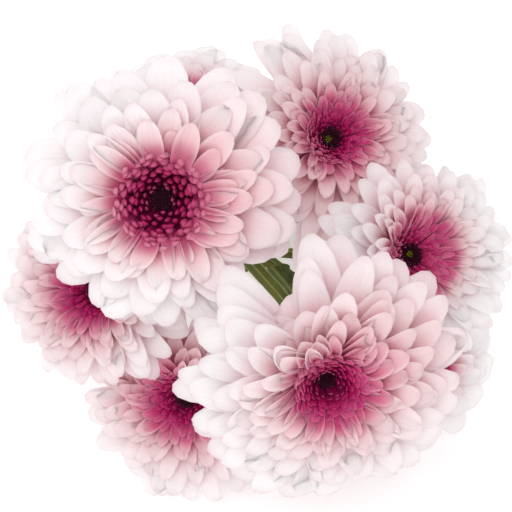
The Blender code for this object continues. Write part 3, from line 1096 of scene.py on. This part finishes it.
# %% [markdown]
# ## The calyx
#
# Behind each bloom is a green cup of bracts: small papery scales that overlap like roof tiles. The cup
# could be turned with a Screw modifier, but a grid wrapped round the axis, with its seam and poles
# welded, fits in the same tree. The bracts are the same blank blade as the petals, wrapped onto the cup
# and a little proud of it at their tips.

# %% The tree of the calyx
CUP_PROFILE = (  # (height, radius), from the stalk up
    (-11, 1.75), (-10.2, 2.1), (-8.8, 3.5), (-6.6, 5.4), (-4, 6.9), (-2, 7.3), (0, 7.0), (1.6, 7.4),
)
CALYX_SIZES = {
    "First": 0, "Last": 34, "Bract length": 6.4 * MM, "Bract width": 3.6 * MM, "Proud": 0.55 * MM,
    "Columns": 4, "Rows": 6, "Seed": 3, "Finish": None,
}
CUP_SEGMENTS = 36
CUP_ROWS = 16
CALYX_DEPTH = 11 * MM
BRACT_SWELL = 0.16 * MM
OLD_BRACT_SPREAD = 0.35 * MM


def cup_radius(height):
    """The radius of the cup at this height, in metres."""
    return graph(height, *((z * MM, radius * MM) for z, radius in CUP_PROFILE))


def cup(tree):
    """The closed cup under the bracts. Its first and last rows of points are drawn in to the axis."""
    sheet = grid(tree, 1.0, CUP_SEGMENTS, CUP_ROWS + 2)
    x, y, _ = place_of(tree)
    row = (y + 0.5) * (CUP_ROWS + 2)
    height = clamped((row - 1) / CUP_ROWS) * CALYX_DEPTH - CALYX_DEPTH
    wall = above(row, 0.5) * below(row, CUP_ROWS + 1.5)
    around = polar(cup_radius(height) * wall, (x + 0.5) * math.tau)
    return welded(moved(stored(sheet, "along", 0.0), *around, height))


def calyx_tree():
    tree, sizes = new_tree("calyx_bracts", CALYX_SIZES)
    bracts = rows_of_blanks(sizes)
    number, along, across = (read(tree, name) for name in ("number", "along", "across"))
    age = (number + 0.5) / sizes["Last"]
    angle = number * GOLDEN_ANGLE + chance(sizes, 1) * 0.06
    length = sizes["Bract length"] * (0.62 + age * 0.42 + chance(sizes, 2) * 0.06)
    height = graph_mm(age, (0, -10.0), (0.5, -7.6), (1, -4.6)) + length * along
    radius = cup_radius(height) + sizes["Proud"] * (0.25 + along * along)
    radius = radius + read(tree, "swell") * BRACT_SWELL + (1 - age) * OLD_BRACT_SPREAD * along
    half = sizes["Bract width"] * 0.5 * outline(along, 0.75, 0.30) * (0.8 + age * 0.3)
    bracts = stored(bracts, "tone", chance(sizes, 3))
    bracts = moved(bracts, *polar(radius, angle + across * half / radius), height)
    return end_tree(joined(cup(tree), bracts), sizes["Finish"])


CALYX_TREE = calyx_tree()
print("each calyx has", CALYX_SIZES["Last"], "bracts")

# %% [markdown]
# ## Green finishes
#
# Bracts, stems and leaves share one soft green skin: a green that wanders from cool to warm, with fine
# down that roughens it. It is one group. Each material then adds its own marks: papery brown margins on
# the bracts, pale ribs and a purple-brown flush on the stems, and pale veins on the leaves.

# %% Green skin
SKIN_PATCHES = 90.0
DOWN = srgb(190, 200, 150)


def skin_effect():
    inputs = {"Light green": srgb(110, 130, 50), "Dark green": srgb(60, 75, 25), "Grain": 400.0}
    tree, given = new_effect("green_skin", inputs)
    place = step(tree, "ShaderNodeTexCoord").other("Object")
    patches = step(tree, "ShaderNodeTexNoise", {"Vector": place, "Scale": SKIN_PATCHES, "Detail": 4.0})
    down = step(tree, "ShaderNodeTexNoise", {"Vector": place, "Scale": given["Grain"] * 6, "Detail": 2.0})
    colour = blend(smooth(patches, 0.35, 0.65), given["Dark green"], given["Light green"])
    colour = blend(smooth(down, 0.55, 0.75) * 0.18, colour, DOWN)
    outputs = {"Colour": colour, "Height": down * 0.6 + patches * 0.4, "Roughness": 0.55 + down * 0.2}
    return end_effect(tree, outputs)


SKIN_EFFECT = skin_effect()


def skin(tree, light, dark, grain):
    inputs = {"Light green": light, "Dark green": dark, "Grain": grain}
    return step(tree, "ShaderNodeGroup", inputs, node_tree=SKIN_EFFECT)


# %% [markdown]
# A bract dries from its margin, so the brown follows the rim of the blade and leaves the foot green. The
# cup under the bracts has the same finish: its `along` is 0 all over, where no margin shows.

# %% Bract finish, and the calyxes
CALYX_SEED = 11
DRY_MARGIN = srgb(150, 128, 92)


def bract_material():
    material, tree, shader = new_material("bract_green", 0.3)
    green = skin(tree, srgb(120, 142, 70), srgb(66, 88, 34), 500.0)
    along, across = attribute(tree, "along"), attribute(tree, "across")
    margin = most(smooth(absolute(across), 0.62, 1.0), smooth(along, 0.80, 1.0))
    fill(shader, {
        "Base Color": blend(margin * smooth(along, 0.05, 0.3), green, DRY_MARGIN),
        "Roughness": green.other("Roughness"), "Normal": bumped(green.other("Height"), 0.1 * MM, 0.4),
    })
    return material


BRACT_GREEN = bract_material()

for seed, bloom in enumerate(BLOOMS):
    sizes = {"Seed": seed * SEED_STEP + CALYX_SEED, "Finish": BRACT_GREEN}
    piece = grow(f"{bloom.name}_calyx_bracts", CALYX_TREE, sizes)
    put_in_place(piece, bloom_matrix(bloom.name))
    finish_piece(piece, f"{bloom.name}_calyx")

# %% [markdown]
# ## Stems
#
# A chrysanthemum stem is woody and ribbed. A plain tube with a bump would lose its ribs in outline, so a
# star-like profile is swept along a smooth line. The profile's own points remember which are on a rib, so
# that the finish can make them paler. The stem flares where it meets a branch or a calyx, and swells at
# its knuckles. Only the caps have faces of more than four corners, and that marks the cut end.

# %% The tree of a ribbed stem
STEM_SIZES = {
    "Radius": 2.6 * MM, "Ribs": 7, "Rib depth": 0.10, "Foot flare": 0.0, "Head flare": 0.25,
    "Flare length": 5 * MM, "Node spacing": 27 * MM, "Finish": None,
}
POINTS_PER_RIB = 6
STEM_STEP = 1.5 * MM
KNUCKLE_SHARPNESS = 24
KNUCKLE_SWELL = 0.10
MOST_WALL_CORNERS = 4.5


def ribbed_profile(tree, sizes):
    """The outline of the stem cut across, round but for the furrows between its ribs."""
    inputs = {"Resolution": sizes["Ribs"] * POINTS_PER_RIB, "Radius": 1.0}
    ring = step(tree, "GeometryNodeCurvePrimitiveCircle", inputs)
    x, y, _ = place_of(tree)
    angle = arctan2(y, x)
    ring = stored(ring, "rib", cos(angle * sizes["Ribs"]) * 0.5 + 0.5)
    ring = stored(ring, "flush", sin(angle) * 0.5 + 0.5)
    out = 1 - (1 - read(tree, "rib")) ** 1.5 * sizes["Rib depth"]
    return moved(ring, x * out, y * out, 0.0)


def stem_tree():
    tree, sizes = new_tree("ribbed_stem", STEM_SIZES)
    line = change(sizes["Geometry"], "GeometryNodeMeshToCurve")
    line = change(line, "GeometryNodeResampleCurve", {"Length": STEM_STEP}, mode="LENGTH")
    spline = step(tree, "GeometryNodeSplineParameter")
    length = spline.other("Length")
    left = length / most(spline.other("Factor"), 0.0001) - length
    foot = exp(length / sizes["Flare length"] * -1) * sizes["Foot flare"]
    head = exp(left / sizes["Flare length"] * -1) * sizes["Head flare"]
    knuckle = cos(length / sizes["Node spacing"] * math.pi) ** KNUCKLE_SHARPNESS * KNUCKLE_SWELL
    line = stored(line, "distance", length)
    inputs = {"Profile Curve": ribbed_profile(tree, sizes), "Fill Caps": True,
              "Scale": sizes["Radius"] * (1 + foot + head + knuckle)}
    tube = change(line, "GeometryNodeCurveToMesh", inputs)
    corners = step(tree, "GeometryNodeInputMeshFaceNeighbors")
    tube = stored(tube, "cut", above(corners, MOST_WALL_CORNERS), domain="FACE")
    return end_tree(tube, sizes["Finish"])


STEM_TREE = stem_tree()
print("the tree of a stem has", len(STEM_TREE.nodes), "nodes")

# %% [markdown]
# The ribs are paler, partly in their own colour and partly with a painted highlight along each ridge, and
# the furrows dark green. One side of the stem, the one that the sun had, is flushed with purple-brown in
# streaks, and the cut end shows pale pith.

# %% Stem finish
# the ribs' own paler green with a painted highlight along each ridge
RIB_GREEN_AND_HIGHLIGHT = srgb(182, 190, 118)
SUN_FLUSH = srgb(104, 72, 56)


def stem_material():
    """Pale ribs with a painted highlight, darker furrows, a purple-brown flush on one side, and a pale cut
    end.
    """
    material, tree, shader = new_material("stem_green", 0.35)
    green = skin(tree, srgb(108, 126, 42), srgb(68, 86, 24), 700.0)
    rib, flush, cut, distance = (attribute(tree, label) for label in ("rib", "flush", "cut", "distance"))
    lengthwise = vector(tree, flush * 30, distance * 60, rib * 4)
    streaks = step(tree, "ShaderNodeTexNoise", {"Vector": lengthwise, "Scale": 1.0, "Detail": 3.0})
    colour = painted(
        green,
        # pale ribs: their own colour and a painted highlight along each ridge
        (smooth(rib, 0.74, 0.98) * 0.62, RIB_GREEN_AND_HIGHLIGHT),
        (smooth(flush + streaks * 0.35, 0.86, 1.12) * 0.75, SUN_FLUSH),
        (cut, blend(streaks, srgb(206, 204, 160), srgb(176, 182, 120))),
    )
    normal = bumped(green.other("Height") * 0.5 + streaks, 0.12 * MM, 0.5)
    fill(shader, {"Base Color": colour, "Roughness": green.other("Roughness"), "Normal": normal})
    return material


STEM_GREEN = stem_material()

# %% [markdown]
# The main stem runs from its cut end, along the table and up through the forks to the first bloom. Its
# route repeats the frame's own points, so that it lies on its solid, and a smooth line passes through
# them. All are in millimetres: the lying part is given over the table, and the rising part in the tilted
# frame of the blooms.

# %% Main stem
TABLE_DROP = 76.9 * MM
TABLE_ANCHOR = SPRAY.translation - Vector((0, 0, TABLE_DROP))
LYING_ROUTE = ((9, 128, 2.8), (7, 103, 2.8), (4, 78, 3.4), (1, 60, 12))
RISING_ROUTE = ((-4, 2, -62), (-9, 5.5, -48), (-18, 12, -33), (-25, 17, -19.5))
ROUTE_STEPS = 8
STEM_RADIUS = 2.7 * MM
SUNK_IN_CALYX = 0.4 * MM


def smooth_route(points, steps):
    """A Catmull-Rom line through all the points."""
    ends = [points[0] * 2 - points[1], *points, points[-1] * 2 - points[-2]]
    line = []
    for a, b, c, d in zip(ends, ends[1:], ends[2:], ends[3:]):
        for number in range(steps):
            t = number / steps
            line.append(0.5 * (b * 2 + (c - a) * t + (a * 2 - b * 5 + c * 4 - d) * t**2
                               + (b * 3 - a - c * 3 + d) * t**3))
    return line + [points[-1]]


def make_stem(name, points, sizes):
    line = bpy.data.meshes.new(name)
    line.from_pydata(points, [(i, i + 1) for i in range(len(points) - 1)], [])
    return grow(name, STEM_TREE, {**sizes, "Finish": STEM_GREEN}, start=line)


def head_of(name):
    """Where a stalk enters its calyx, and the way that the bloom faces."""
    origin, facing, _ = measure_bloom(name)
    return origin - facing * (CALYX_DEPTH - SUNK_IN_CALYX), facing


route = [TABLE_ANCHOR + Vector(point) * MM for point in LYING_ROUTE]
route += [SPRAY @ (Vector(point) * MM) for point in RISING_ROUTE] + [head_of("bloom_1")[0]]
MAIN_LINE = smooth_route(route, ROUTE_STEPS)
piece = make_stem("main_stem_ribbed", MAIN_LINE, {"Radius": STEM_RADIUS, "Head flare": -0.1})
finish_piece(piece, "main_stem")
STEM_LENGTH = sum((end - start).length for start, end in zip(MAIN_LINE, MAIN_LINE[1:]))
print("the main stem is", round(STEM_LENGTH / MM), "mm long")

# %% [markdown]
# Each side stalk starts inside the main stem and flares there, as a branch does, and flares again where
# it meets its calyx. A Bezier curve is enough for it, because it has only to leave its fork on the way to
# its bloom, and to come in along the bloom's axis.

# %% Side stalks
FORKS = {
    "bloom_2": (-9, 6, -47), "bloom_3": (-3, 2, -67), "bloom_4": (-7, 4.5, -52), "bloom_5": (-2, 2, -71),
    "bloom_6": (-5, 3, -58), "bloom_7": (-3, 3, -63), "bloom_8": (-1, 3, -77),
}
STALK_RADIUS = 1.7 * MM
THICK_STALK_RADIUS = 2.5 * MM
BEND = 0.35
STALK_STEPS = 24


def bezier(a, b, c, d, steps):
    shares = [number / steps for number in range(steps + 1)]
    return [a * (1 - t)**3 + b * 3 * (1 - t)**2 * t + c * 3 * (1 - t) * t**2 + d * t**3 for t in shares]


for name, fork in FORKS.items():
    start = SPRAY @ (Vector(fork) * MM)
    top, facing = head_of(name)
    pull = (top - start).length * BEND
    away = (top - start).normalized()
    radius = THICK_STALK_RADIUS if name == "bloom_4" else STALK_RADIUS
    points = bezier(start, start + away * pull, top - facing * pull, top, STALK_STEPS)
    piece = make_stem(f"{name}_stalk_ribbed", points, {"Radius": radius, "Foot flare": 0.35, "Ribs": 6})
    finish_piece(piece, f"{name}_stalk")

# %% [markdown]
# ## Leaves
#
# The leaf has round lobes in pairs, blunt teeth and a vein into each lobe. Its outline could be drawn by
# hand, but the lobes follow a rule. So it is a blank blade with many rows: a formula sets its half-width
# along the midrib, the rows slant so that the lobes point forward, and the veins are sunk into the upper
# side. Its foot is bent back to reach the stem.

# %% The tree of a leaf
LEAF_SIZES = {
    "First": 0, "Last": 1, "Length": 52 * MM, "Width": 0.62, "Lobes": 3.0, "Lobe depth": 0.52,
    "Droop": 0.16, "Fold": 0.20, "Foot X": 0.0, "Foot Y": 0.0, "Foot Z": 0.0,
    "Columns": 28, "Rows": 72, "Seed": 1, "Finish": None,
}
LEAF_STALK = 0.17
SLANT = 0.13
VEIN_SLANT = 0.18
TEETH_PER_LOBE = 3
QUILT_DEPTH = 0.5 * MM
VEIN_GROOVE = 0.35 * MM
LEAF_THICKNESS = 0.24 * MM
MIDRIB_THICKNESS = 0.55 * MM


def leaf_outline(sizes, body, phase):
    """Half the width of the leaf here, as a share of its length."""
    lobe = (cos(phase * math.tau) * -0.5 + 0.5) ** 0.55
    teeth = absolute(sin(phase * math.pi * TEETH_PER_LOBE)) ** 0.6
    shape = sin(body ** 0.72 * math.pi) ** 0.8
    shape = shape * (1 - sizes["Lobe depth"] * (1 - lobe)) * (1 + teeth * 0.07)
    shape = shape + clamped(1 - body * 9) * 0.02
    return sizes["Width"] * 0.5 * shape + 0.022 * clamped((1 - body) * 9) + 0.002


def leaf_tree():
    tree, sizes = new_tree("lobed_leaf", LEAF_SIZES)
    blade = rows_of_blanks(sizes)
    across, swell = read(tree, "across"), read(tree, "swell")
    along = 1 - (1 - read(tree, "along")) ** (1 / ROW_EASE)
    reach = absolute(across)
    length = sizes["Length"]
    body = clamped((along - LEAF_STALK) / (1 - LEAF_STALK))
    phase = body * (sizes["Lobes"] + 0.5) + 0.5
    half = length * leaf_outline(sizes, body, phase)
    y = along * length + reach * half * SLANT * 4 * body * (1 - body)
    slanted = (phase - reach * VEIN_SLANT) * math.pi
    vein = smooth(absolute(cos(slanted)), 0.10, 0.0) * (1 - reach * 0.7)
    midrib = smooth(reach * half, 1.1 * MM, 0.2 * MM)
    veins = most(vein * above(body, 0.02), midrib)
    quilt = absolute(sin(slanted)) * sin(reach * math.pi)
    wave = sin(along * 17 + across * 2) * reach ** 2 * 0.018
    z = along ** 2 * length * sizes["Droop"] * -1 + reach * half * sizes["Fold"] + wave * length
    z = z + quilt * QUILT_DEPTH - veins * VEIN_GROOVE
    z = z + swell * (LEAF_THICKNESS + midrib * MIDRIB_THICKNESS)
    blade = stored(blade, "vein", veins)
    blade = stored(blade, "body", body)
    foot = clamped(1 - along / LEAF_STALK) ** 2
    place = {"X": across * half, "Y": y, "Z": z}
    place = [value + foot * sizes[f"Foot {axis}"] for axis, value in place.items()]
    return end_tree(moved(blade, *place), sizes["Finish"], crisp=1.0)


LEAF_TREE = leaf_tree()
print("the tree of a leaf has", len(LEAF_TREE.nodes), "nodes")

# %% [markdown]
# The veins are paler than the blade, with a net of fine ones between them that Voronoi cells give. The
# rim is a thin brown line, the under side is paler and duller, and the stalk takes the colour of the
# stem.

# %% Leaf finish
NET_SCALE = 420.0


def leaf_material():
    material, tree, shader = new_material("leaf_green", 0.35)
    green = skin(tree, srgb(84, 104, 38), srgb(50, 68, 22), 300.0)
    vein, upper, across, body = (attribute(tree, label) for label in ("vein", "upper", "across", "body"))
    inputs = {"Vector": step(tree, "ShaderNodeTexCoord").other("Object"), "Scale": NET_SCALE}
    net = smooth(step(tree, "ShaderNodeTexVoronoi", inputs, feature="DISTANCE_TO_EDGE"), 0.10, 0.0)
    colour = painted(
        green,
        (net * 0.25, srgb(120, 138, 66)),
        (vein * 0.7, srgb(150, 164, 92)),
        (smooth(absolute(across), 0.93, 1.0) * 0.5, srgb(96, 66, 40)),
    )
    colour = painted(
        colour,
        ((1 - upper) * 0.9, blend(0.55, colour, srgb(150, 160, 120))),
        (smooth(body, 0.05, 0.0) * 0.8, srgb(126, 134, 66)),
    )
    fill(shader, {
        "Base Color": colour, "Roughness": green.other("Roughness") - vein * 0.1,
        "Normal": bumped(green.other("Height") * 0.4 - net * 0.8, 0.2 * MM, 0.6),
    })
    return material


LEAF_GREEN = leaf_material()

# %% [markdown]
# Each leaf is placed by its root, over the table, and by the way that it points. Its foot then reaches
# for the nearest point of the main stem behind it, so that no leaf hangs in the air.

# %% The leaves
@dataclass
class Leaf:
    """Where a leaf leaves the stem, over the table in millimetres, and how it points, in degrees."""

    name: str
    root: tuple
    heading: float
    rise: float
    roll: float
    length: float


LEAVES = (
    Leaf("leaf_1", (12.6, 118, 6), -48, 12, 12, 52),
    Leaf("leaf_2", (3.2, 106, 5), 222, 14, -14, 56),
    Leaf("leaf_3", (9.4, 88, 6), -36, 16, 16, 54),
    Leaf("leaf_4", (-0.6, 72, 8), 206, 18, -16, 52),
    Leaf("leaf_5", (1, 36, 34), -48, -8, -24, 34),
    Leaf("leaf_6", (5, 98, 10), -82, 40, 0, 42),
)
BEHIND_ROOT = 4 * MM


def turned(degrees, axis):
    return Matrix.Rotation(math.radians(degrees), 4, axis)


for seed, leaf in enumerate(LEAVES):
    turn = turned(leaf.heading - 90, "Z") @ turned(leaf.rise, "X") @ turned(leaf.roll, "Y")
    root = TABLE_ANCHOR + Vector(leaf.root) * MM
    behind = root - turn @ Vector((0, BEHIND_ROOT, 0))
    on_stem = min(MAIN_LINE, key=lambda point: (point - behind).length)
    foot = turn.inverted() @ (on_stem - root)
    sizes = {"Length": leaf.length * MM, "Foot X": foot.x, "Foot Y": foot.y, "Foot Z": foot.z}
    piece = grow(f"{leaf.name}_lobed", LEAF_TREE, {**sizes, "Seed": seed, "Finish": LEAF_GREEN})
    put_in_place(piece, Matrix.Translation(root) @ turn)
    print(leaf.name, "reaches back", round(foot.length / MM, 1), "mm to the stem")
    finish_piece(piece, leaf.name)

# %% [markdown]
# ## Table and light
#
# The spray lies on a plain pale table. Many lamps would give crossing shadows, so there is only one wide,
# soft window light over the viewer's shoulder, and a white room that fills the shadows, so that the thin
# petals look almost lit from inside.

# %% Floor
WHITE = (1, 1, 1, 1)
FLOOR_COLOUR = (0.97, 0.97, 0.97, 1)
FLOOR_GLOW = 0.3
FLOOR_HALF = 2.5
CORNERS = ((-1, -1), (1, -1), (1, 1), (-1, 1))

floor_mesh = bpy.data.meshes.new("studio_floor")
floor_mesh.from_pydata([(x * FLOOR_HALF, y * FLOOR_HALF, 0) for x, y in CORNERS], [], [(0, 1, 2, 3)])
floor = bpy.data.objects.new("studio_floor", floor_mesh)
bpy.context.scene.collection.objects.link(floor)
floor_material, _, floor_shader = new_material("studio_floor", 0.5)
fill(floor_shader, {
    "Base Color": FLOOR_COLOUR, "Roughness": 0.7, "Emission Color": WHITE, "Emission Strength": FLOOR_GLOW,
})
floor_mesh.materials.append(floor_material)
print("the floor is", FLOOR_HALF * 2, "m wide")

# %% [markdown]
# The room is a plain white world. The window is a square area light, turned to the middle of the spray.

# %% Room and window
ROOM_LIGHT = 0.81
WINDOW_PLACE = Vector((-0.3, 0.28, 1.0))
WINDOW_SIZE = 0.8
WINDOW_POWER = 3.4

world = bpy.data.worlds.new("studio")
world.use_nodes = True
fill(world.node_tree.nodes["Background"], {"Color": WHITE, "Strength": ROOM_LIGHT})
bpy.context.scene.world = world

window_data = bpy.data.lights.new("window", "AREA")
window_data.size = WINDOW_SIZE
window_data.energy = WINDOW_POWER
window = bpy.data.objects.new("window", window_data)
window.location = SPRAY @ WINDOW_PLACE
window.rotation_euler = (SPRAY.translation - window.location).to_track_quat("-Z", "Y").to_euler()
bpy.context.scene.collection.objects.link(window)
bpy.context.scene.view_settings.view_transform = "Standard"
print("window at", [round(value, 2) for value in window.location])
